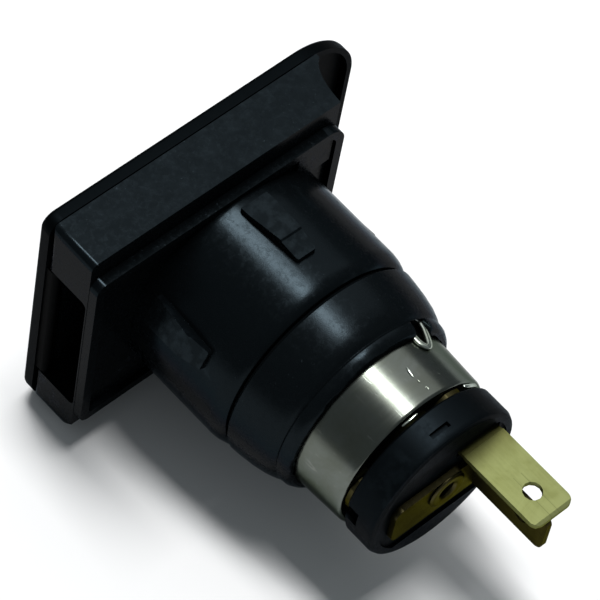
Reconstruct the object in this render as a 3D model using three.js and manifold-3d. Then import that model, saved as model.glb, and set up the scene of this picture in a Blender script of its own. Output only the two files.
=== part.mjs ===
// Panel-mount 12 V accessory socket: a moulded head with a hinged lid, a round body with snap lugs,
// a nickel-plated shell with a spring contact inside, and two blade terminals at the rear.
//
// Millimetres. The socket's axis is the Y axis. The lid faces -Y and the blades point to +Y.
// Y = 0 is the rear rim of the head, which seats on the panel. +Z is up and the lid's hinge is at +X.

import * as THREE from 'three';
import { mergeVertices } from 'three/addons/utils/BufferGeometryUtils.js';
import Module from 'manifold-3d';

const wasm = await Module();
wasm.setup();

// ---------- driving dimensions ----------

const ROUND = 64;                 // facets round a large turned part
const SMALL = 24;                 // facets round a small turned part
const CUT = 1;                    // how far a cutter runs past the face it opens
const GAP = 0.1;                  // gap between flat faces of stacked parts

const HEAD_HALF_HEIGHT = 19.3;    // lid and head, along Z
const HEAD_END = 22.3;            // head's hinge end
const LID_END = 22.5;             // lid's hinge end
const LID_TIP = -26.0;            // lid's finger lip
const LID_FRONT = -10.3;
const LID_BACK = -8.5;
const LID_EDGE = 0.6;             // rounding round the lid's front
const LIP_CORNER = 9.5;           // lid's corner radius at the lip
const HINGE_CORNER = 2;           // lid's upper corner radius at the hinge end
const HINGE_LOW_CORNER = 4.4;
const HEAD_CORNER = 1;            // head's upper corner radius at the hinge end
const HEAD_LOW_CORNER = 3.7;
const LIP_RIM = 0.8;              // rim round the hollow behind the lip
const LIP_HOLLOW = 1.2;
const LIP_HOLLOW_END = -19;
const LID_ROOT = LID_BACK - 0.4;  // how deep the pieces behind the lid are rooted in it
const BOSS_R = 9.3;               // ring behind the lid that carries the seal
const BOSS_BORE_R = 8.4;
const BOSS_REAR = -6.7;
const NIB_X = -15;                // catch that keeps the lid shut
const NIB_HALF_WIDTH = 0.4;
const NIB_HALF_LENGTH = 2;
const NIB_REAR = -7.5;
const SEAL_BORE_R = 9.4;
const SEAL_R = 10.25;
const SEAL_FRONT = -8.1;
const SEAL_REAR = -7;
const SEAL_EDGE = 0.35;

const FRONT = -8.35;              // head's front face, under the lid
const LEDGE = -1.3;               // head's rear ledge
const BOTTOM_BREAK = -5.5;          // where the lower side starts to taper
const LEDGE_BOTTOM = -15.2;       // where that taper meets the ledge
const FLANGE_TOP = 16;
const FLANGE_BOTTOM = -13.4;
const FLANGE_LEFT = -16.6;
const FLANGE_RIGHT = 22.25;
const FLANGE_CORNER = 3;
const FLANGE_END_CORNER = 1.4;
const RIM = 1.3;                  // width of the flange's raised rim
const RIM_DEPTH = 0.8;

const BODY_R = 15.2;
const BODY_REAR = 15.8;
const BODY_SHOULDER = 13.4;       // where the body starts to round in towards its rear
const BODY_REAR_R = 14.6;
const BORE_R = 12;
const MOUTH_R = 13.5;
const MOUTH_FLOOR = -7.1;

const PIN_X = 21.55;
const PIN_Y = -7.6;
const PIN_R = 0.5;
const PIN_HOLE_R = 0.56;
const PIN_HALF_LENGTH = 12.6;
const BARREL_R = 0.75;
const BARREL_HALF_LENGTH = 10.7;
const HINGE_SLOT_HALF = 11;

const POCKET_HALF_HEIGHT = 11;    // window in the head's hinge end
const POCKET_FRONT = -7.2;
const POCKET_REAR = -1.5;
const POCKET_FLOOR = 15.6;

const LUG_ANGLES = [-1.8, 65, 180, 270];
const LUG_START = 1.4;
const LUG_RIDGE = 7.8;
const LUG_END = 11.1;
const LUG_WIDTH = 4;
const LUG_END_WIDTH = 2.9;
const LUG_FRONT_R = 16.0;
const LUG_RIDGE_R = 16.6;
const LUG_STEP = 0.25;            // drop behind the lug's ridge
const LUG_END_R = 15.8;

const SLEEVE_FRONT = 16.1;
const SLEEVE_REAR = 25.2;
const SLEEVE_BORE_R = 11.85;

const SHELL_R = 11.7;             // at the mouth; the shell narrows a little behind the sleeve
const SHELL_REAR_R = 11.4;
const SHELL_BORE_R = 10.8;
const SHELL_WALL = 0.7;
const SHELL_FLANGE_R = 13.2;
const SHELL_FRONT = -7.9;
const SHELL_REAR = 32.7;
const FLOOR_HOLE_R = 3.4;

const RING_T = 0.6;               // earth terminal's disc
const CAP_R = 11.5;
const CAP_EDGE = 0.8;             // rounding round the cap's rear
const CAP_FRONT = SHELL_REAR + GAP + RING_T + GAP;
const CAP_REAR = 38.1;
const CAP_CHANNEL_HALF = 7.4;
const CAP_CHANNEL_FLOOR = 37.7;
const STRAP_T = 0.8;
const STRAP_TOP = 38.6;
const STRAP_LOW = -4.1;
const STRAP_HIGH = 2.2;
const STRAP_END = 8.2;
const BLADE_T = 0.8;
const BLADE_HOLE_R = 1.25;
const BLADE_TIP_CORNER = 1.2;
const POWER_BLADE_X = -5.5;
const POWER_BLADE_TIP = 50.3;
const EARTH_BLADE_Z = 4.7;
const EARTH_BLADE_LEFT = -8.3;
const EARTH_BLADE_RIGHT = -2;
const EARTH_BLADE_TIP = 50.8;
const STEM_END = 38.7;            // the earth blade's stem is thinner up to here, to pass the cap
const STEM_RELIEF = 0.1;
const RIVET_R = 1.8;
const RIVET_HOLE_R = 1.2;
const RIVET_HEAD_R = 2.75;
const RIVET_REAR = 39;

// ---------- solids ----------

function solid(geometry) {
  const bare = geometry.clone();
  bare.deleteAttribute('normal');
  bare.deleteAttribute('uv');
  const merged = mergeVertices(bare, 1e-5);
  return new wasm.Manifold(new wasm.Mesh({
    numProp: 3,
    vertProperties: new Float32Array(merged.attributes.position.array),
    triVerts: new Uint32Array(merged.index.array),
  }));
}

function joined(...solids) {
  return solids.reduce((a, b) => a.add(b));
}

function cutBy(body, ...cutters) {
  return cutters.reduce((a, b) => a.subtract(b), body);
}

function meshOf(manifold) {
  const mesh = manifold.getMesh();
  const geometry = new THREE.BufferGeometry();
  geometry.setAttribute('position', new THREE.BufferAttribute(new Float32Array(mesh.vertProperties), 3));
  geometry.setIndex(new THREE.BufferAttribute(new Uint32Array(mesh.triVerts), 1));
  geometry.computeVertexNormals();
  return geometry;
}

// A box given by its two corners.
function block(x0, x1, y0, y1, z0, z1) {
  const geometry = new THREE.BoxGeometry(x1 - x0, y1 - y0, z1 - z0);
  geometry.translate((x0 + x1) / 2, (y0 + y1) / 2, (z0 + z1) / 2);
  return solid(geometry);
}

// A ring or disc turned about the Y axis from a closed profile of [radius, y] points.
function turned(profile, facets = ROUND) {
  const points = profile.map(([r, y]) => new THREE.Vector2(r, y));
  if (profile[0][0] > 0) points.push(points[0].clone());
  return solid(new THREE.LatheGeometry(points, facets));
}

function tube(outer, inner, y0, y1, facets = ROUND) {
  return turned([[inner, y0], [outer, y0], [outer, y1], [inner, y1]], facets);
}

function rod(radius, y0, y1, facets = SMALL) {
  return turned([[0, y0], [radius, y0], [radius, y1], [0, y1]], facets);
}

// A straight round bar along an axis, from a to b.
function bar(radius, axis, a, b, c1, c2, facets = SMALL) {
  const geometry = new THREE.CylinderGeometry(radius, radius, b - a, facets);
  geometry.translate(0, (a + b) / 2, 0);
  if (axis === 'x') geometry.rotateZ(-Math.PI / 2).translate(0, c1, c2);
  if (axis === 'z') geometry.rotateX(Math.PI / 2).translate(c1, c2, 0);
  return solid(geometry);
}

// A shape's outline as straight stretches, without the doubled points where its curves meet.
function straightened(shape, curveSegments) {
  const distinct = (points) => points.filter((point, i) => {
    const next = points[(i + 1) % points.length];
    return point.distanceTo(next) > 1e-4;
  });
  const plain = new THREE.Shape(distinct(shape.getPoints(curveSegments)));
  plain.holes = (shape.holes ?? []).map((hole) => new THREE.Path(distinct(hole.getPoints(curveSegments))));
  return plain;
}

// A shape drawn in X and Z, extruded along Y.
function plateY(shape, y0, y1, { curveSegments = 12, ...options } = {}) {
  const settings = { depth: y1 - y0, bevelEnabled: false, ...options };
  const geometry = new THREE.ExtrudeGeometry(straightened(shape, curveSegments), settings);
  geometry.rotateX(Math.PI / 2).translate(0, y1, 0);
  return solid(geometry);
}

// A shape drawn in X and Y, extruded along Z.
function plateZ(shape, z0, z1, curveSegments = 12) {
  const outline = straightened(shape, curveSegments);
  const geometry = new THREE.ExtrudeGeometry(outline, { depth: z1 - z0, bevelEnabled: false });
  geometry.translate(0, 0, z0);
  return solid(geometry);
}

// A shape drawn in Y and Z, extruded along X.
function plateX(shape, x0, x1, curveSegments = 12) {
  const outline = straightened(shape, curveSegments);
  const geometry = new THREE.ExtrudeGeometry(outline, { depth: x1 - x0, bevelEnabled: false });
  const turn = new THREE.Matrix4().makeBasis(
    new THREE.Vector3(0, 1, 0),
    new THREE.Vector3(0, 0, 1),
    new THREE.Vector3(1, 0, 0),
  );
  geometry.applyMatrix4(turn).translate(x0, 0, 0);
  return solid(geometry);
}

function polygon(points) {
  return new THREE.Shape(points.map(([a, b]) => new THREE.Vector2(a, b)));
}

// A rectangle with one corner radius on its low-a side and another on its high-a side, where the
// corner at low b can have a radius of its own.
function roundedRectangle(a0, a1, b0, b1, lowRadius, highRadius = lowRadius, cornerRadius = highRadius) {
  const shape = new THREE.Shape();
  shape.moveTo(a0 + lowRadius, b0);
  shape.lineTo(a1 - cornerRadius, b0);
  shape.absarc(a1 - cornerRadius, b0 + cornerRadius, cornerRadius, -Math.PI / 2, 0, false);
  shape.lineTo(a1, b1 - highRadius);
  shape.absarc(a1 - highRadius, b1 - highRadius, highRadius, 0, Math.PI / 2, false);
  shape.lineTo(a0 + lowRadius, b1);
  shape.absarc(a0 + lowRadius, b1 - lowRadius, lowRadius, Math.PI / 2, Math.PI, false);
  shape.lineTo(a0, b0 + lowRadius);
  shape.absarc(a0 + lowRadius, b0 + lowRadius, lowRadius, Math.PI, Math.PI * 1.5, false);
  return shape;
}

function spunAboutY(manifold, degrees) {
  return manifold.rotate([0, degrees, 0]);
}

// ---------- the lid ----------

function makeLid() {
  const inset = LID_EDGE;
  const outline = roundedRectangle(
    LID_TIP + inset,
    LID_END - inset,
    -HEAD_HALF_HEIGHT + inset,
    HEAD_HALF_HEIGHT - inset,
    LIP_CORNER - inset,
    HINGE_CORNER - inset,
    HINGE_LOW_CORNER - inset,
  );
  const rounding = { bevelEnabled: true, bevelSize: inset, bevelThickness: inset, bevelSegments: 3 };
  const sheet = plateY(outline, LID_FRONT + inset, LID_BACK + inset, rounding);
  const spare = block(-40, 40, LID_BACK, LID_BACK + 5, -40, 40);
  const rimInset = LIP_RIM + 0.1;
  const insideRim = roundedRectangle(
    LID_TIP + LIP_RIM,
    0,
    -HEAD_HALF_HEIGHT + rimInset,
    HEAD_HALF_HEIGHT - rimInset,
    LIP_CORNER - rimInset,
    1,
  );
  const hollow = plateY(insideRim, LID_BACK - LIP_HOLLOW, LID_BACK + CUT)
    .intersect(block(-30, LIP_HOLLOW_END, -20, 0, -20, 20));
  const boss = tube(BOSS_R, BOSS_BORE_R, LID_ROOT, BOSS_REAR);
  const barrel = bar(BARREL_R, 'z', -BARREL_HALF_LENGTH, BARREL_HALF_LENGTH, PIN_X, PIN_Y);
  const web = block(
    PIN_X - BARREL_R,
    PIN_X + BARREL_R,
    LID_ROOT,
    PIN_Y,
    -BARREL_HALF_LENGTH,
    BARREL_HALF_LENGTH,
  );
  const pinHole = bar(PIN_HOLE_R, 'z', -20, 20, PIN_X, PIN_Y);
  const nib = block(
    NIB_X - NIB_HALF_WIDTH,
    NIB_X + NIB_HALF_WIDTH,
    LID_ROOT,
    NIB_REAR,
    -NIB_HALF_LENGTH,
    NIB_HALF_LENGTH,
  );
  return cutBy(joined(cutBy(sheet, spare, hollow), boss, barrel, web, nib), pinHole);
}

function makeLidSeal() {
  return turned([
    [SEAL_BORE_R, SEAL_FRONT],
    [SEAL_R - SEAL_EDGE, SEAL_FRONT],
    [SEAL_R, SEAL_FRONT + SEAL_EDGE],
    [SEAL_R, SEAL_REAR - SEAL_EDGE],
    [SEAL_R - SEAL_EDGE, SEAL_REAR],
    [SEAL_BORE_R, SEAL_REAR],
  ]);
}

function makeHingePin() {
  return bar(PIN_R, 'z', -PIN_HALF_LENGTH, PIN_HALF_LENGTH, PIN_X, PIN_Y, 16);
}

// ---------- the housing ----------

function headOutlineXY() {
  const shape = new THREE.Shape();
  shape.moveTo(-18.6, FRONT);
  shape.lineTo(PIN_X, FRONT);
  shape.absarc(PIN_X, PIN_Y, HEAD_END - PIN_X, -Math.PI / 2, 0, false);
  shape.lineTo(HEAD_END, LEDGE);
  shape.lineTo(-16.2, LEDGE);
  shape.quadraticCurveTo(-16.5, -6.4, -18.6, FRONT + 0.6);
  return shape;
}

function headSectionYZ() {
  return polygon([
    [FRONT, -HEAD_HALF_HEIGHT],
    [BOTTOM_BREAK, -HEAD_HALF_HEIGHT],
    [LEDGE, LEDGE_BOTTOM],
    [LEDGE, HEAD_HALF_HEIGHT],
    [FRONT, HEAD_HALF_HEIGHT],
  ]);
}

function makeLug() {
  const side = polygon([
    [LUG_START, BODY_R - 1],
    [LUG_END, BODY_R - 1],
    [LUG_END - 0.3, LUG_END_R],
    [LUG_RIDGE + 0.2, LUG_RIDGE_R - LUG_STEP],
    [LUG_RIDGE, LUG_RIDGE_R],
    [LUG_START, LUG_FRONT_R],
  ]);
  const half = LUG_WIDTH / 2;
  const halfEnd = LUG_END_WIDTH / 2;
  const plan = polygon([
    [-half, LUG_START - 0.1],
    [half, LUG_START - 0.1],
    [half, LUG_START + 1.5],
    [halfEnd + 0.15, LUG_RIDGE],
    [halfEnd, LUG_END - 0.5],
    [halfEnd - 0.5, LUG_END + 0.1],
    [-halfEnd + 0.5, LUG_END + 0.1],
    [-halfEnd, LUG_END - 0.5],
    [-halfEnd - 0.15, LUG_RIDGE],
    [-half, LUG_START + 1.5],
  ]);
  return plateX(side, -half, half).intersect(plateZ(plan, BODY_R - 2, BODY_R + 3));
}

function makeHousing() {
  const height = HEAD_HALF_HEIGHT;
  const blank = plateY(
    roundedRectangle(-19, HEAD_END, -height, height, 0.4, HEAD_CORNER, HEAD_LOW_CORNER),
    FRONT,
    LEDGE,
  );
  const head = blank
    .intersect(plateZ(headOutlineXY(), -20, 20))
    .intersect(plateX(headSectionYZ(), -20, 25));
  const flange = plateY(
    roundedRectangle(FLANGE_LEFT, FLANGE_RIGHT, FLANGE_BOTTOM, FLANGE_TOP, FLANGE_CORNER, FLANGE_END_CORNER),
    LEDGE - CUT,
    0,
  );
  const recess = plateY(
    roundedRectangle(
      FLANGE_LEFT + RIM,
      FLANGE_RIGHT - RIM,
      FLANGE_BOTTOM + RIM,
      FLANGE_TOP - RIM,
      FLANGE_CORNER - RIM,
      0.5,
    ),
    -RIM_DEPTH,
    CUT,
  );
  const cornerWebs = [
    block(-15, -9.5, LEDGE - 0.1, -0.3, 9.8, FLANGE_TOP - RIM - 0.3),
    block(-15, -9.5, LEDGE - 0.1, -0.3, FLANGE_BOTTOM + RIM + 0.3, -8),
  ];
  const barrel = turned([
    [0, -6],
    [BODY_R, -6],
    [BODY_R, BODY_SHOULDER],
    [BODY_R - 0.12, BODY_SHOULDER + 0.9],
    [BODY_REAR_R + 0.22, BODY_REAR - 0.7],
    [BODY_REAR_R, BODY_REAR - 0.3],
    [BODY_REAR_R - 0.3, BODY_REAR],
    [0, BODY_REAR],
  ]);
  const lugs = LUG_ANGLES.map((angle) => spunAboutY(makeLug(), angle));
  const bore = rod(BORE_R, -20, 30, ROUND);
  const mouth = rod(MOUTH_R, FRONT - CUT, MOUTH_FLOOR, ROUND);
  const pocket = plateX(
    roundedRectangle(POCKET_FRONT, POCKET_REAR, -POCKET_HALF_HEIGHT, POCKET_HALF_HEIGHT, 0.8),
    POCKET_FLOOR,
    HEAD_END + CUT,
    4,
  );
  const hingeSlot = block(20.2, HEAD_END + CUT, FRONT - CUT, -6.6, -HINGE_SLOT_HALF, HINGE_SLOT_HALF);
  const pinHole = bar(PIN_HOLE_R, 'z', -PIN_HALF_LENGTH - 0.4, PIN_HALF_LENGTH + 0.4, PIN_X, PIN_Y);
  const nibSlot = block(
    NIB_X - 2 * NIB_HALF_WIDTH,
    NIB_X + 2 * NIB_HALF_WIDTH,
    FRONT - CUT,
    NIB_REAR + 0.3,
    -NIB_HALF_LENGTH - 0.4,
    NIB_HALF_LENGTH + 0.4,
  );
  return cutBy(
    joined(cutBy(joined(head, flange), recess), barrel, ...cornerWebs, ...lugs),
    bore,
    mouth,
    pocket,
    hingeSlot,
    pinHole,
    nibSlot,
  );
}

function makeLockSleeve() {
  return turned([
    [SLEEVE_BORE_R, SLEEVE_FRONT],
    [14.2, SLEEVE_FRONT],
    [14.7, SLEEVE_FRONT + 0.5],
    [14.55, 18],
    [14.3, 19.8],
    [13.95, 21.4],
    [13.5, 22.6],
    [13.15, 23],
    [12.95, 23.25],
    [13.15, 23.55],
    [13.05, 24.3],
    [12.7, 24.9],
    [12.3, SLEEVE_REAR],
    [SLEEVE_BORE_R, SLEEVE_REAR],
  ]);
}

// ---------- the metal well ----------

function makeShell() {
  const inner = SHELL_BORE_R;
  const wall = turned([
    [inner + 0.3, SHELL_FRONT],
    [SHELL_FLANGE_R, SHELL_FRONT],
    [SHELL_FLANGE_R, SHELL_FRONT + SHELL_WALL],
    [SHELL_R, SHELL_FRONT + SHELL_WALL],
    [SHELL_R, SLEEVE_REAR],
    [SHELL_REAR_R, SHELL_REAR - 0.6],
    [SHELL_REAR_R - 0.18, SHELL_REAR - 0.18],
    [SHELL_REAR_R - 0.6, SHELL_REAR],
    [FLOOR_HOLE_R, SHELL_REAR],
    [FLOOR_HOLE_R, SHELL_REAR - SHELL_WALL],
    [inner, SHELL_REAR - SHELL_WALL],
    [inner, SHELL_FRONT + 0.3],
  ]);
  const contactSlots = block(-14, 14, 4, 13.5, -2.4, 2.4);
  return wall.subtract(contactSlots);
}

// A leaf contact that closes one of the shell's slots and bows inwards.
function makeSideContact(side) {
  const shape = new THREE.Shape();
  const root = SHELL_BORE_R + 0.4;
  shape.moveTo(root, 4.3);
  shape.quadraticCurveTo(root - 2.6, 8.75, root, 13.2);
  shape.lineTo(root - 0.45, 13.2);
  shape.quadraticCurveTo(root - 3, 8.75, root - 0.45, 4.3);
  const leaf = plateZ(shape, -2, 2, 10);
  return side > 0 ? leaf : spunAboutY(leaf, 180);
}

function makeInsulatingDisc() {
  return tube(8.2, RIVET_R + 0.15, 31.1, 31.9, 32);
}

function makeContactCup() {
  return turned([
    [RIVET_R + 0.1, 31],
    [RIVET_R + 0.1, 30.4],
    [4.4, 30.4],
    [4.4, 25.4],
    [5, 25.4],
    [5, 31],
  ], 32);
}

function makeContactButton() {
  return turned([
    [0, 23.6],
    [2.4, 23.6],
    [3, 24],
    [3.4, 24.8],
    [4.1, 25.4],
    [4.1, 26.1],
    [1.05, 26.1],
    [1.05, 27.6],
    [0, 27.6],
  ], 32);
}

class Helix extends THREE.Curve {
  constructor(radius, start, end, turns) {
    super();
    Object.assign(this, { radius, start, end, turns });
  }

  getPoint(t, target = new THREE.Vector3()) {
    const angle = t * this.turns * Math.PI * 2;
    const y = THREE.MathUtils.lerp(this.start, this.end, t);
    return target.set(this.radius * Math.cos(angle), y, this.radius * Math.sin(angle));
  }
}

function makeContactSpring() {
  const section = new THREE.Shape().absarc(0, 0, 0.25, 0, Math.PI * 2, false);
  const path = new Helix(3.6, 26.5, 29.7, 3);
  return solid(new THREE.ExtrudeGeometry(section, { steps: 60, curveSegments: 4, extrudePath: path }));
}

function makeInsulatingBush() {
  return turned([
    [RIVET_R + 0.1, 32],
    [3.3, 32],
    [3.3, CAP_FRONT - GAP],
    [RIVET_R + 0.1, CAP_FRONT - GAP],
  ], 32);
}

// ---------- the rear ----------

// A blade's outline in width and height, with rounded corners at its tip and its hole.
function bladeOutline(a0, a1, foot, tip) {
  const r = BLADE_TIP_CORNER;
  const shape = new THREE.Shape();
  shape.moveTo(a0, foot);
  shape.lineTo(a1, foot);
  shape.lineTo(a1, tip - r);
  shape.absarc(a1 - r, tip - r, r, 0, Math.PI / 2, false);
  shape.lineTo(a0 + r, tip);
  shape.absarc(a0 + r, tip - r, r, Math.PI / 2, Math.PI, false);
  shape.lineTo(a0, foot);
  const hole = new THREE.Path().absarc((a0 + a1) / 2, tip - 3.95, BLADE_HOLE_R, 0, Math.PI * 2, true);
  shape.holes.push(hole);
  return shape;
}

function makeEarthTerminal() {
  const front = SHELL_REAR + GAP;
  const disc = tube(SHELL_REAR_R - 0.15, 3.6, front, front + RING_T);
  const low = EARTH_BLADE_Z - BLADE_T / 2;
  const high = EARTH_BLADE_Z + BLADE_T / 2;
  const outline = bladeOutline(EARTH_BLADE_LEFT, EARTH_BLADE_RIGHT, STEM_END - 0.2, EARTH_BLADE_TIP);
  const blade = plateZ(outline, low, high, 6);
  const stem = block(
    EARTH_BLADE_LEFT + 0.05,
    EARTH_BLADE_RIGHT - 0.05,
    front + 0.2,
    STEM_END,
    low + STEM_RELIEF,
    high - STEM_RELIEF,
  );
  return joined(disc, stem, blade);
}

function makeEndCap() {
  const body = turned([
    [0, CAP_FRONT],
    [CAP_R - 0.3, CAP_FRONT],
    [CAP_R, CAP_FRONT + 0.3],
    [CAP_R, CAP_REAR - CAP_EDGE],
    [CAP_R - 0.3 * CAP_EDGE, CAP_REAR - 0.3 * CAP_EDGE],
    [CAP_R - CAP_EDGE, CAP_REAR],
    [0, CAP_REAR],
  ]);
  const channel = block(-20, 20, CAP_CHANNEL_FLOOR, CAP_REAR + CUT, -CAP_CHANNEL_HALF, CAP_CHANNEL_HALF);
  const keep = rod(CAP_R - 1.4, CAP_FRONT, CAP_REAR + CUT, ROUND);
  const rivetHole = rod(RIVET_R + 0.1, CAP_FRONT - CUT, CAP_REAR + CUT);
  const bladeSlot = block(
    EARTH_BLADE_LEFT - 0.3,
    EARTH_BLADE_RIGHT + 0.3,
    CAP_FRONT - CUT,
    CAP_REAR + CUT,
    EARTH_BLADE_Z - BLADE_T / 2 - 0.25,
    EARTH_BLADE_Z + BLADE_T / 2 + 0.25,
  );
  const sideDent = block(-0.3, 2.5, 36, 36.7, CAP_R - 0.7, CAP_R + 1);
  const notch = block(-1.2, 1.2, CAP_FRONT - CUT, CAP_FRONT + 2, CAP_R - 1.3, CAP_R + 1);
  const frontNotch = spunAboutY(notch, 88);
  return cutBy(body, channel.intersect(keep), rivetHole, bladeSlot, sideDent, frontNotch);
}

function makePowerTerminal() {
  const floor = STRAP_TOP - STRAP_T;
  const middle = (STRAP_LOW + STRAP_HIGH) / 2;
  const bladeFront = POWER_BLADE_X - BLADE_T / 2;
  const strap = plateY(
    roundedRectangle(bladeFront, STRAP_END, STRAP_LOW, STRAP_HIGH, 0.3, 1.2),
    floor,
    STRAP_TOP,
    { curveSegments: 5 },
  );
  const outline = bladeOutline(-STRAP_HIGH, -STRAP_LOW, floor + 0.3, POWER_BLADE_TIP);
  const blade = plateZ(outline, -BLADE_T / 2, BLADE_T / 2, 6)
    .rotate([0, 90, 0])
    .translate([POWER_BLADE_X, 0, 0]);
  const rivetHole = rod(RIVET_R + 0.1, floor - CUT, STRAP_TOP + CUT);
  return cutBy(strap.add(blade), rivetHole);
}

function makeRivet() {
  const head = STRAP_TOP + GAP;
  return turned([
    [RIVET_HOLE_R, 29.8],
    [2.9, 29.8],
    [2.9, 30.3],
    [RIVET_R, 30.3],
    [RIVET_R, head],
    [RIVET_HEAD_R, head],
    [RIVET_HEAD_R, RIVET_REAR - 0.1],
    [RIVET_HEAD_R - 0.3, RIVET_REAR + 0.1],
    [RIVET_HOLE_R + 0.3, RIVET_REAR],
    [RIVET_HOLE_R, RIVET_REAR - 0.3],
  ], 32);
}

// ---------- materials ----------

function finish(color, roughness, metalness) {
  return new THREE.MeshStandardMaterial({ color, roughness, metalness });
}

const blackHead = finish(0x14191b, 0.55, 0);
const blackBody = finish(0x0e1214, 0.35, 0);
const rubber = finish(0x101112, 0.8, 0);
const phenolic = finish(0x4a3a2c, 0.6, 0);
const nickel = finish(0xb5b1a8, 0.25, 1);
const steel = finish(0x9a9c9e, 0.35, 1);
const brass = finish(0xc9c58a, 0.4, 1);

// ---------- assembly ----------

const socket = new THREE.Group();

function place(name, manifold, material) {
  const mesh = new THREE.Mesh(meshOf(manifold), material);
  mesh.name = name;
  socket.add(mesh);
}

place('lid', makeLid(), blackHead);
place('lid_seal', makeLidSeal(), rubber);
place('hinge_pin', makeHingePin(), steel);
place('housing', makeHousing(), blackBody);
place('lock_sleeve', makeLockSleeve(), blackBody);
place('shell', makeShell(), nickel);
place('side_contact_1', makeSideContact(1), nickel);
place('side_contact_2', makeSideContact(-1), nickel);
place('insulating_disc', makeInsulatingDisc(), phenolic);
place('contact_cup', makeContactCup(), steel);
place('contact_spring', makeContactSpring(), steel);
place('contact_button', makeContactButton(), brass);
place('insulating_bush', makeInsulatingBush(), phenolic);
place('earth_terminal', makeEarthTerminal(), brass);
place('end_cap', makeEndCap(), blackBody);
place('power_terminal', makePowerTerminal(), brass);
place('rivet', makeRivet(), brass);

export default socket;
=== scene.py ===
"""Looks of the panel-mount 12 V accessory socket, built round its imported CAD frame."""

import math

import bmesh
import bpy
from mathutils import Matrix, Vector


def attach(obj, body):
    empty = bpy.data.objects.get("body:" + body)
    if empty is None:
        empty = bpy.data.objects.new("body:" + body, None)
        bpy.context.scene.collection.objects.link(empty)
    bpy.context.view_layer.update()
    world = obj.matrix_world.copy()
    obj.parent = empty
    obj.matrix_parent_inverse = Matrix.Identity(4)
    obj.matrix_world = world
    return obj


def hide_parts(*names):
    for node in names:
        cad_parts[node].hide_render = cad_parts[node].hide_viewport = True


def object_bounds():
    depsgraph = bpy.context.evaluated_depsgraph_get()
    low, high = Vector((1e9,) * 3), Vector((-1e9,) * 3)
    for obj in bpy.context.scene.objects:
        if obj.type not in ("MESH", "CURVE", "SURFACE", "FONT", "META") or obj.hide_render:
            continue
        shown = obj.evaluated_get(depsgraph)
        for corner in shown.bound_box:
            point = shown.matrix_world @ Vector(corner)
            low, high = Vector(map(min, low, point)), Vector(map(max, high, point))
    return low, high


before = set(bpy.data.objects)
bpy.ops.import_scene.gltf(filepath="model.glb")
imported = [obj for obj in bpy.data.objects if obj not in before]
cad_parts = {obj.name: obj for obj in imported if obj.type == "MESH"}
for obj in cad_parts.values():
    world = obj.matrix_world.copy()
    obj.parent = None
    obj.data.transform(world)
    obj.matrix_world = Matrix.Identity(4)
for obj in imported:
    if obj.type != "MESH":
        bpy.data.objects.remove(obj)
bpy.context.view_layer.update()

MM = 0.001

# ---------- camera, lights and floor ----------

VIEW_AZIMUTH = math.radians(128.03)
VIEW_ELEVATION = math.radians(56.35)
VIEW_ROLL = math.radians(-12.09)
VIEW_DISTANCE = 484.3 * MM
VIEW_TARGET = Vector((-1.43, 10.47, 4.66)) * MM
LENS = 245.4
WORLD_STRENGTH = 0.19
KEY_FROM = (-0.09, -0.17, 0.98)
GLOW_FROM = (-0.55, -0.34, 0.76)


def aim(obj, position, target, roll=0.0, upright=(0, 0, 1)):
    """Stands obj at position with its -Z axis towards target and its Y axis towards upright."""
    forward = (target - position).normalized()
    side = forward.cross(Vector(upright)).normalized()
    up = side.cross(forward)
    rolled_up = up * math.cos(roll) + side * math.sin(roll)
    rolled_side = forward.cross(rolled_up)
    turn = Matrix((rolled_side, rolled_up, -forward)).transposed().to_4x4()
    obj.matrix_world = Matrix.Translation(position) @ turn


def make_camera():
    data = bpy.data.cameras.new("view")
    data.lens = LENS
    data.clip_start = 0.01
    camera = bpy.data.objects.new("view", data)
    bpy.context.scene.collection.objects.link(camera)
    away = Vector((
        math.cos(VIEW_ELEVATION) * math.sin(VIEW_AZIMUTH),
        -math.cos(VIEW_ELEVATION) * math.cos(VIEW_AZIMUTH),
        math.sin(VIEW_ELEVATION),
    ))
    aim(camera, VIEW_TARGET + away * VIEW_DISTANCE, VIEW_TARGET, VIEW_ROLL)
    bpy.context.scene.camera = camera


def make_light(name, direction, distance, width, length, power):
    """A soft box in the given direction from the object, with its length along the socket's axis."""
    data = bpy.data.lights.new(name, "AREA")
    data.shape = "RECTANGLE"
    data.size = width
    data.size_y = length
    data.energy = power
    light = bpy.data.objects.new(name, data)
    bpy.context.scene.collection.objects.link(light)
    centre = Vector((0, 15, 0)) * MM
    aim(light, centre + Vector(direction).normalized() * distance, centre, upright=(0, 1, 0))


def make_world():
    world = bpy.data.worlds.new("studio")
    bpy.context.scene.world = world
    world.use_nodes = True
    background = world.node_tree.nodes["Background"]
    background.inputs["Color"].default_value = (0.86, 0.95, 1.0, 1)
    background.inputs["Strength"].default_value = WORLD_STRENGTH


def make_floor():
    low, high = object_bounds()
    half = 3.0
    mesh = bpy.data.meshes.new("floor")
    z = low[2]
    corners = [(-half, -half, z), (half, -half, z), (half, half, z), (-half, half, z)]
    mesh.from_pydata(corners, [], [(0, 1, 2, 3)])
    floor = bpy.data.objects.new("floor", mesh)
    bpy.context.scene.collection.objects.link(floor)
    floor.data.materials.append(floor_material())


# ---------- node helpers ----------


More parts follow.
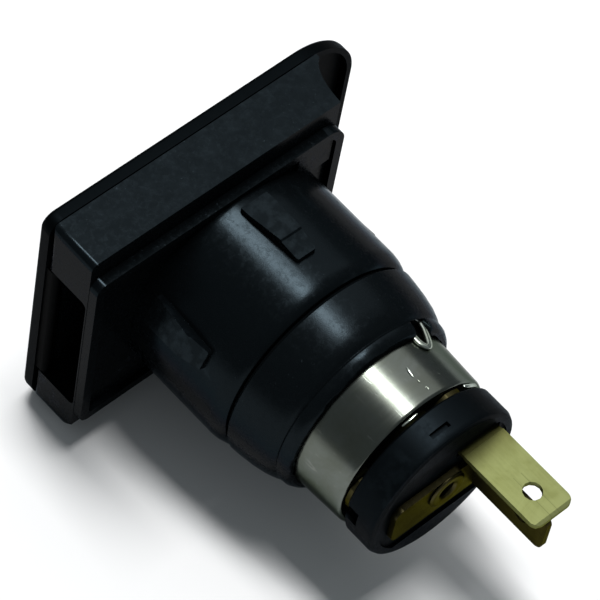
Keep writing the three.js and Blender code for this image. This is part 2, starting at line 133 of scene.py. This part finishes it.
class Nodes:
    """A short way to build one material's node tree."""

    def __init__(self, name):
        self.material = bpy.data.materials.new(name)
        self.material.use_nodes = True
        self.tree = self.material.node_tree
        self.tree.nodes.clear()
        self.output = self.tree.nodes.new("ShaderNodeOutputMaterial")
        self.shader = self.tree.nodes.new("ShaderNodeBsdfPrincipled")
        self.link(self.shader.outputs[0], self.output.inputs[0])
        coordinates = self.tree.nodes.new("ShaderNodeTexCoord")
        self.place = coordinates.outputs["Object"]

    def link(self, a, b):
        self.tree.links.new(a, b)

    def feed(self, socket, value):
        if isinstance(value, bpy.types.NodeSocket):
            self.link(value, socket)
        else:
            socket.default_value = value

    def constant(self, **values):
        for label, value in values.items():
            self.shader.inputs[label.replace("_", " ")].default_value = value

    def noise(self, scale, detail=3.0, roughness=0.55, distortion=0.0, at=None):
        node = self.tree.nodes.new("ShaderNodeTexNoise")
        self.link(at or self.place, node.inputs["Vector"])
        node.inputs["Scale"].default_value = scale
        node.inputs["Detail"].default_value = detail
        node.inputs["Roughness"].default_value = roughness
        node.inputs["Distortion"].default_value = distortion
        return node.outputs["Fac"]

    def stretched(self, scale, rotation=(0, 0, 0)):
        node = self.tree.nodes.new("ShaderNodeMapping")
        self.link(self.place, node.inputs["Vector"])
        node.inputs["Scale"].default_value = scale
        node.inputs["Rotation"].default_value = rotation
        return node.outputs["Vector"]

    def ramp(self, value, low, high, low_out=0.0, high_out=1.0):
        node = self.tree.nodes.new("ShaderNodeMapRange")
        node.interpolation_type = "SMOOTHSTEP"
        self.link(value, node.inputs["Value"])
        node.inputs["From Min"].default_value = low
        node.inputs["From Max"].default_value = high
        node.inputs["To Min"].default_value = low_out
        node.inputs["To Max"].default_value = high_out
        return node.outputs["Result"]

    def maths(self, operation, a, b=0.0):
        node = self.tree.nodes.new("ShaderNodeMath")
        node.operation = operation
        self.feed(node.inputs[0], a)
        self.feed(node.inputs[1], b)
        return node.outputs[0]

    def mix(self, factor, a, b):
        node = self.tree.nodes.new("ShaderNodeMix")
        node.data_type = "RGBA"
        self.feed(node.inputs["Factor"], factor)
        for socket, colour in ((node.inputs[6], a), (node.inputs[7], b)):
            value = colour if isinstance(colour, bpy.types.NodeSocket) else (*colour, 1)
            self.feed(socket, value)
        return node.outputs[2]

    def edges(self, low=0.52, high=0.6):
        geometry = self.tree.nodes.new("ShaderNodeNewGeometry")
        return self.ramp(geometry.outputs["Pointiness"], low, high)

    def x_and_y(self):
        split = self.tree.nodes.new("ShaderNodeSeparateXYZ")
        self.link(self.place, split.inputs[0])
        return split.outputs[0], split.outputs[1]

    def seam_lines(self):
        """Two fine lines along the earth blade, from beside its hole to its tip."""
        x, y = self.x_and_y()
        across = self.maths("ABSOLUTE", self.maths("SUBTRACT", x, SEAM_MIDDLE * MM))
        from_line = self.maths("ABSOLUTE", self.maths("SUBTRACT", across, SEAM_APART * MM))
        line = self.ramp(from_line, 0.0, SEAM_WIDTH * MM, 1.0, 0.0)
        return self.maths("MULTIPLY", line, self.maths("GREATER_THAN", y, SEAM_START * MM))

    def foot_shade(self):
        """Mask of the painted shade at the earth blade's foot: from 1 where the blade leaves the cap to 0 a
        few millimetres along it.
        """
        y = self.x_and_y()[1]
        return self.ramp(y, FOOT_START * MM, FOOT_END * MM, 1.0, 0.0)

    def colour(self, value):
        self.feed(self.shader.inputs["Base Color"], value)

    def roughness(self, value):
        self.feed(self.shader.inputs["Roughness"], value)

    def bump(self, height, strength, distance):
        node = self.tree.nodes.new("ShaderNodeBump")
        self.link(height, node.inputs["Height"])
        node.inputs["Strength"].default_value = strength
        node.inputs["Distance"].default_value = distance
        self.link(node.outputs["Normal"], self.shader.inputs["Normal"])


# ---------- materials ----------

# Places on the earth blade, in mm: its seams across and along it, and the stretch at its foot that gets
# painted shade.
SEAM_MIDDLE = -5.15
SEAM_APART = 0.6
SEAM_WIDTH = 0.1
SEAM_START = 44.2
FOOT_START = 38.0
FOOT_END = 42.5


def floor_material():
    n = Nodes("pale_floor")
    n.colour(n.mix(n.noise(6.0), (0.86, 0.86, 0.86), (0.9, 0.9, 0.9)))
    n.roughness(0.9)
    n.constant(Specular_IOR_Level=0.1)
    return n.material


def moulded_black(name, shine, gloss, grain, speckle):
    """Moulded black plastic: faint flow marks, fine grain, rubbed edges, specks of dust and dull spots.

    The metallic share and the dark tint hold back the pale floor's reflection at grazing angles.
    """
    n = Nodes(name)
    flow = n.noise(90.0, 4.0, 0.6, 0.8)
    dark = tuple(c * 0.97 for c in shine)
    rubbed = tuple(c * 2.2 for c in shine)
    dusty = tuple(c * 3.0 for c in shine)
    body = n.mix(n.ramp(flow, 0.35, 0.65), dark, shine)
    worn = n.maths("MULTIPLY", n.edges(), n.ramp(n.noise(700.0), 0.4, 0.65))
    with_wear = n.mix(n.maths("MULTIPLY", worn, 0.6), body, rubbed)
    specks = n.ramp(n.noise(2600.0, 2.0), 0.68, 0.76)
    patches = n.ramp(n.noise(160.0, 3.0), 0.45, 0.7)
    dust = n.maths("MULTIPLY", n.maths("MULTIPLY", specks, patches), speckle)
    n.colour(n.mix(dust, with_wear, dusty))
    streaks = n.noise(1.0, 4.0, 0.6, 0.2, at=n.stretched((900, 120, 900)))
    flow_gloss = n.ramp(flow, 0.3, 0.7, -0.006, 0.006)
    streak_gloss = n.ramp(streaks, 0.3, 0.7, -0.012, 0.016)
    spread = n.maths("ADD", flow_gloss, streak_gloss)
    spotted = n.ramp(n.noise(1300.0, 4.0, 0.7, 0.4), 0.42, 0.68, -0.03, 0.09)
    spread = n.maths("ADD", spread, n.maths("MULTIPLY", spotted, speckle))
    n.roughness(n.maths("ADD", n.maths("ADD", spread, gloss), n.maths("MULTIPLY", dust, 0.3)))
    n.constant(Metallic=0.75, Specular_IOR_Level=0.1, Specular_Tint=(0.30, 0.36, 0.40, 1))
    fine = n.noise(5200.0, 2.0, 0.5)
    scuffs = n.ramp(n.noise(420.0, 2.0, 0.5, 0.2), 0.66, 0.76, 0.0, -0.15)
    n.bump(n.maths("ADD", n.maths("MULTIPLY", fine, grain), scuffs), 0.3, 0.00004)
    return n.material


def nickel_plate(name, lift):
    """Satin nickel: rolled grain round the shell, fine scratches and a warm bloom of tarnish."""
    n = Nodes(name)
    grain = n.noise(1.0, 6.0, 0.7, 0.0, at=n.stretched((260, 5200, 260)))
    bloom = n.noise(140.0, 5.0, 0.65, 0.6)
    clean = tuple(lift * c for c in (0.145, 0.160, 0.147))
    tarnished = tuple(lift * c for c in (0.112, 0.123, 0.102))
    base = n.mix(n.ramp(bloom, 0.35, 0.7), clean, tarnished)
    slanted = n.stretched((5200, 420, 1600), (0.2, 0.5, 0.9))
    scratches = n.ramp(n.noise(1.0, 3.0, 0.5, 0.3, at=slanted), 0.66, 0.71)
    scratched = tuple(lift * c for c in (0.24, 0.25, 0.23))
    n.colour(n.mix(n.maths("MULTIPLY", scratches, 0.5), base, scratched))
    n.constant(Metallic=1.0, Specular_Tint=(0.35, 0.37, 0.35, 1))
    wander = n.maths("ADD", n.ramp(grain, 0.3, 0.7, -0.015, 0.025), n.ramp(bloom, 0.3, 0.7, 0.0, 0.05))
    n.roughness(n.maths("ADD", wander, 0.18))
    n.bump(n.maths("ADD", grain, n.maths("MULTIPLY", scratches, -1.0)), 0.06, 0.00003)
    return n.material


def pale_brass(name, bright, dull, sheen, seams=False):
    """Pressed brass: rolled grain along the strip, cloudy tarnish and rubbed edges.

    With seams, it has the earth blade's seam lines and a painted shade at its foot too.
    """
    n = Nodes(name)
    cloud = n.noise(230.0, 5.0, 0.6, 0.5)
    grain = n.noise(1.0, 5.0, 0.6, 0.0, at=n.stretched((3600, 240, 3600)))
    base = n.mix(n.ramp(cloud, 0.38, 0.72), bright, dull)
    if seams:
        seam = tuple(c * 0.45 for c in dull)
        base = n.mix(n.maths("MULTIPLY", n.seam_lines(), 0.45), base, seam)
        # Painted shade at the blade's foot, where the cap shades it and is reflected in it.
        base = n.mix(n.maths("MULTIPLY", n.foot_shade(), 0.75), base, (0.050, 0.046, 0.012))
    rubbed = tuple(c * 1.25 for c in bright)
    n.colour(n.mix(n.maths("MULTIPLY", n.edges(0.53, 0.62), 0.4), base, rubbed))
    n.constant(Metallic=1.0, Specular_Tint=(0.45, 0.45, 0.30, 1))
    wander = n.maths("ADD", n.ramp(grain, 0.3, 0.7, -0.05, 0.06), n.ramp(cloud, 0.3, 0.7, -0.03, 0.06))
    n.roughness(n.maths("ADD", wander, sheen))
    n.bump(n.maths("ADD", grain, n.maths("MULTIPLY", cloud, 0.6)), 0.15, 0.00003)
    return n.material


def bright_steel():
    n = Nodes("plated_steel")
    grain = n.noise(900.0, 5.0, 0.7)
    n.colour(n.mix(n.ramp(grain, 0.3, 0.7), (0.36, 0.36, 0.37), (0.5, 0.5, 0.5)))
    n.constant(Metallic=1.0)
    n.roughness(n.ramp(grain, 0.2, 0.8, 0.22, 0.4))
    n.bump(grain, 0.1, 0.00002)
    return n.material


def soft_rubber():
    n = Nodes("seal_rubber")
    cloud = n.noise(600.0, 4.0)
    n.colour(n.mix(cloud, (0.006, 0.006, 0.007), (0.014, 0.014, 0.014)))
    n.roughness(n.ramp(cloud, 0.2, 0.8, 0.65, 0.85))
    n.constant(Specular_IOR_Level=0.2)
    n.bump(n.noise(4200.0), 0.3, 0.00004)
    return n.material


def pressed_fibre():
    n = Nodes("pressed_fibre")
    fibres = n.noise(1.0, 6.0, 0.7, 0.4, at=n.stretched((2200, 700, 700)))
    n.colour(n.mix(fibres, (0.07, 0.035, 0.018), (0.16, 0.09, 0.045)))
    n.roughness(n.ramp(fibres, 0.2, 0.8, 0.5, 0.75))
    n.bump(fibres, 0.3, 0.00005)
    return n.material


HEAD = moulded_black("head_plastic", (0.0016, 0.0024, 0.0029), 0.52, 0.7, 0.3)
# A copy of the head plastic about four times darker: painted shade for what stands behind the lid.
SHADED_RECESS = moulded_black("recess_painted_shade", (0.0004, 0.0005, 0.0006), 0.6, 0.7, 0.2)
BODY = moulded_black("body_plastic", (0.0072, 0.0100, 0.0118), 0.23, 0.25, 0.8)
SLEEVE = moulded_black("sleeve_plastic", (0.0078, 0.0106, 0.0124), 0.26, 0.4, 0.9)
CAP = moulded_black("cap_plastic", (0.0042, 0.0060, 0.0073), 0.46, 0.6, 0.6)
NICKEL = nickel_plate("nickel_plate", 0.92)
# A copy of the nickel about 3.5 times brighter, for the lance tab, burrs and rim tab: rubbed metal and
# painted highlight.
HIGHLIT_RUBBED_NICKEL = nickel_plate("rubbed_nickel_painted_highlight", 3.2)
BRASS = pale_brass("blade_brass", (0.152, 0.166, 0.066), (0.126, 0.136, 0.048), 0.46, seams=True)
# A much darker copy of the blade's brass, for the strap, rivet, button and earth ring: painted shade.
SHADED_BRASS = pale_brass("brass_painted_shade", (0.050, 0.044, 0.020), (0.024, 0.021, 0.010), 0.38)
STEEL = bright_steel()
RUBBER = soft_rubber()
FIBRE = pressed_fibre()

# ---------- mesh helpers ----------


def finish_mesh(piece, sharp=38):
    piece.data.shade_smooth()
    piece.data.set_sharp_from_angle(angle=math.radians(sharp))


def settled(piece):
    """Applies the piece's modifiers."""
    bpy.context.view_layer.update()
    evaluated = piece.evaluated_get(bpy.context.evaluated_depsgraph_get())
    mesh = bpy.data.meshes.new_from_object(evaluated)
    piece.modifiers.clear()
    piece.data = mesh
    return piece


def from_bmesh(name, bm):
    mesh = bpy.data.meshes.new(name)
    bm.to_mesh(mesh)
    bm.free()
    piece = bpy.data.objects.new(name, mesh)
    bpy.context.scene.collection.objects.link(piece)
    return piece


def soften(piece, bevel, steps=2, limit=32):
    rounding = piece.modifiers.new("rounding", "BEVEL")
    rounding.width = bevel
    rounding.segments = steps
    rounding.limit_method = "ANGLE"
    rounding.angle_limit = math.radians(limit)
    rounding.use_clamp_overlap = True
    piece.data.shade_smooth()
    weigh = piece.modifiers.new("weigh", "WEIGHTED_NORMAL")
    weigh.keep_sharp = True
    weigh.weight = 60
    return settled(piece)


def joined_up(node):
    """A copy of a CAD node with the triangles of its flat faces joined up."""
    bm = bmesh.new()
    bm.from_mesh(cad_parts[node].data)
    bmesh.ops.remove_doubles(bm, verts=bm.verts, dist=0.002 * MM)
    bmesh.ops.dissolve_limit(bm, angle_limit=math.radians(0.5), verts=bm.verts, edges=bm.edges)
    return from_bmesh(node + "_fine", bm)


def on_body(degrees, y, radius):
    """A point round the socket's axis: degrees from the top towards the hinge end, in mm."""
    turn = math.radians(degrees)
    return Vector((radius * math.sin(turn), y, radius * math.cos(turn))) * MM


def swept(name, path, width, height):
    """A flattened bead along a path of (degrees, y, radius) round the socket's axis."""
    points = [on_body(*stop) for stop in path]
    bm = bmesh.new()
    rings = []
    around = 10
    for i, point in enumerate(points):
        along = (points[min(i + 1, len(points) - 1)] - points[max(i - 1, 0)]).normalized()
        out = Vector((point.x, 0, point.z)).normalized()
        side = along.cross(out).normalized()
        end = 0.35 if i in (0, len(points) - 1) else 1.0
        ring = []
        for k in range(around):
            turn = 2 * math.pi * k / around
            offset = side * math.cos(turn) * width / 2 + out * math.sin(turn) * height / 2
            ring.append(bm.verts.new(point + offset * end))
        rings.append(ring)
    for a, b in zip(rings, rings[1:]):
        for k in range(around):
            m = (k + 1) % around
            bm.faces.new((a[k], a[m], b[m], b[k]))
    bm.faces.new(rings[0])
    bm.faces.new(list(reversed(rings[-1])))
    bmesh.ops.recalc_face_normals(bm, faces=bm.faces)
    return from_bmesh(name, bm)


def smoothed(path, steps=5):
    """More stops along a path, on a Catmull-Rom curve through the given ones."""
    stops = [path[0], *path, path[-1]]
    fine = []
    for i in range(1, len(stops) - 2):
        a, b, c, d = (Vector(stop) for stop in stops[i - 1:i + 3])
        for k in range(steps):
            t = k / steps
            square = 2 * a - 5 * b + 4 * c - d
            cube = 3 * b - a - 3 * c + d
            fine.append(tuple(0.5 * (2 * b + (c - a) * t + square * t * t + cube * t ** 3)))
    fine.append(tuple(path[-1]))
    return fine


def wobble(a, b, seed):
    """A steady pseudo-random number from -1 to 1."""
    return math.sin(a * 12.9898 + b * 78.233 + seed * 37.719) * math.cos(a * 4.1414 - b * 9.7)


# ---------- special pieces ----------

NOTCH_MIDDLE = -34.5
NOTCH_WIDTH = 3.4
NOTCH_START = 23.3
NOTCH_END = 27.0
NOTCH_INNER_R = 11.0
NOTCH_OUTER_R = 16.0
SLEEVE_LIP = 24.7
SLEEVE_LIP_R = 12.6
RAGGED = 0.13


def worn_sleeve(piece):
    """The sleeve, with a notch in its rear rim and a ragged inner edge there."""
    bm = bmesh.new()
    bmesh.ops.create_cube(bm, size=1.0)
    low = Vector((-NOTCH_WIDTH / 2, NOTCH_START, NOTCH_INNER_R))
    high = Vector((NOTCH_WIDTH / 2, NOTCH_END, NOTCH_OUTER_R))
    turn = Matrix.Rotation(math.radians(NOTCH_MIDDLE), 4, "Y")
    for v in bm.verts:
        corner = [low[i] + (v.co[i] + 0.5) * (high[i] - low[i]) for i in range(3)]
        v.co = turn @ (Vector(corner) * MM)
    cutter = from_bmesh("sleeve_notch", bm)
    cut = piece.modifiers.new("notch", "BOOLEAN")
    cut.operation = "DIFFERENCE"
    cut.solver = "EXACT"
    cut.object = cutter
    settled(piece)
    bpy.data.objects.remove(cutter, do_unlink=True)
    for v in piece.data.vertices:
        radius = math.hypot(v.co.x, v.co.z) / MM
        if v.co.y > SLEEVE_LIP * MM and radius < SLEEVE_LIP_R:
            turn = math.degrees(math.atan2(v.co.x, v.co.z))
            push = 1 + RAGGED * wobble(turn * 0.21, 0.3, 1.0) / radius
            v.co.x *= push
            v.co.z *= push
            v.co.y -= abs(wobble(turn * 0.13, 0.7, 2.0)) * RAGGED * MM
    return piece


BEHIND_LID = -8.45


def shade_behind_lid(piece):
    """The lid, with what stands behind it, the hinge barrel included, in far darker plastic: painted shade.
    """
    piece.data.materials.append(HEAD)
    piece.data.materials.append(SHADED_RECESS)
    for face in piece.data.polygons:
        if face.center.y > BEHIND_LID * MM:
            face.material_index = 1
    return piece


RING_SHOWS = ((-40, -6), (62, 100))
RING_FADE = 12.0
RING_HIDDEN_R = 8.4
RING_SHOWN_R = 11.0
RING_RIM_R = 11.0
RING_REAR = 33.6
BLADE_MIDDLE = 4.7
TIP_STARTS = 50.3
TIP_SLOPE = 0.2
TIP_THINNED = 0.65


def coined_terminal(piece):
    """The earth terminal: its ring shows in two stretches, and its blade is coined thinner at the tip."""
    bm = bmesh.new()
    bm.from_mesh(piece.data)
    cut = bm.verts[:] + bm.edges[:] + bm.faces[:]
    bmesh.ops.bisect_plane(bm, geom=cut, plane_co=(0, TIP_STARTS * MM, 0), plane_no=(0, 1, 0))
    for v in bm.verts:
        radius = math.hypot(v.co.x, v.co.z) / MM
        turn = math.degrees(math.atan2(v.co.x, v.co.z))
        if v.co.y < RING_REAR * MM and radius > RING_RIM_R:
            inside = max(min(turn - a, b - turn) for a, b in RING_SHOWS)
            shown = min(1.0, max(0.0, inside / RING_FADE))
            wanted = RING_HIDDEN_R + (RING_SHOWN_R - RING_HIDDEN_R) * shown ** 0.5
            v.co.x *= wanted / radius
            v.co.z *= wanted / radius
        if v.co.y > (TIP_STARTS + TIP_SLOPE) * MM:
            v.co.z = BLADE_MIDDLE * MM + (v.co.z - BLADE_MIDDLE * MM) * TIP_THINNED
    mesh = bpy.data.meshes.new(piece.name)
    bm.to_mesh(mesh)
    bm.free()
    mesh.materials.append(BRASS)
    mesh.materials.append(SHADED_BRASS)
    # The earth ring, one pressing with the blade, gets the darker brass: painted shade.
    for face in mesh.polygons:
        if face.center.y < RING_REAR * MM:
            face.material_index = 1
    piece.data = mesh
    return piece


HOOK = [
    (-27.0, 23.6, 11.95),
    (-27.4, 24.8, 11.95),
    (-28.2, 26.0, 11.85),
    (-30.8, 26.7, 11.85),
    (-33.8, 26.4, 11.95),
    (-37.5, 25.2, 12.15),
    (-40.3, 24.0, 12.3),
    (-41.8, 22.9, 12.3),
]

RIM_TAB = [(-33.0, 33.0, 11.25), (-40.0, 33.15, 11.32), (-50.0, 33.0, 11.25)]

SHELL_MARKS = [
    # name, path of (degrees, y, radius), width, height
    ("shell_hook", smoothed(HOOK), 0.95, 0.6),
    ("shell_burr_1", [(-7.4, 27.8, 11.62), (-6.9, 28.4, 11.64), (-6.2, 29.2, 11.58)], 0.42, 0.24),
    ("shell_burr_2", [(-6.9, 29.8, 11.56), (-7.0, 30.2, 11.56)], 0.32, 0.2),
    ("shell_burr_3", [(-7.9, 31.0, 11.50), (-8.5, 31.5, 11.48)], 0.3, 0.18),
    ("shell_burr_4", [(-22.0, 30.3, 11.52), (-22.6, 30.5, 11.52)], 0.2, 0.12),
    ("shell_rim_burr", smoothed([(20.0, 33.0, 11.32), (14.0, 33.1, 11.38), (8.0, 33.05, 11.34)]), 0.3, 0.22),
    ("shell_rim_tab", smoothed(RIM_TAB), 0.55, 0.3),
]


def dress(piece, node, body, material):
    if not piece.data.materials or piece.data.materials[0] != material:
        piece.data.materials.clear()
        piece.data.materials.append(material)
    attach(piece, body)
    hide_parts(node)


# ---------- pieces ----------

PIECES = [
    # node, body, slot, material, edge rounding in mm
    ("lid", "lid", "head_plastic", HEAD, 0.2),
    ("lid_seal", "lid", "seal_rubber", RUBBER, 0.1),
    ("hinge_pin", "base", "steel", STEEL, 0.08),
    ("housing", "base", "body_plastic", BODY, 0.3),
    ("lock_sleeve", "base", "sleeve_plastic", SLEEVE, 0.1),
    ("shell", "base", "nickel", NICKEL, 0.1),
    ("side_contact_1", "base", "nickel", NICKEL, 0.08),
    ("side_contact_2", "base", "nickel", NICKEL, 0.08),
    ("insulating_disc", "base", "insulation", FIBRE, 0.08),
    ("contact_cup", "base", "steel", STEEL, 0.1),
    ("contact_spring", "base", "steel", STEEL, 0.0),
    ("contact_button", "button", "brass", SHADED_BRASS, 0.1),
    ("insulating_bush", "base", "insulation", FIBRE, 0.08),
    ("earth_terminal", "base", "brass", BRASS, 0.1),
    ("end_cap", "base", "cap_plastic", CAP, 0.15),
    ("power_terminal", "base", "brass", SHADED_BRASS, 0.1),
    ("rivet", "base", "brass", SHADED_BRASS, 0.08),
]

make_camera()
make_world()
make_light("key", KEY_FROM, 0.9, 0.17, 0.6, 8.8)
make_light("glow", GLOW_FROM, 1.1, 0.9, 0.9, 2.2)
make_floor()

DETAILS = {
    "lid": shade_behind_lid,
    "lock_sleeve": worn_sleeve,
    "earth_terminal": coined_terminal,
}

for node, body, slot, material, rounding in PIECES:
    rough = joined_up(node)
    if node in DETAILS:
        rough = DETAILS[node](rough)
    dress(soften(rough, rounding * MM), node, body, material)

# The shell's raised marks, in the brighter nickel: rubbed metal and painted highlight.
for name, path, width, height in SHELL_MARKS:
    mark = swept(name, path, width * MM, height * MM)
    mark.data.materials.append(HIGHLIT_RUBBED_NICKEL)
    finish_mesh(mark, 60)
    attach(mark, "base")

scene = bpy.context.scene
scene.view_settings.view_transform = "Standard"
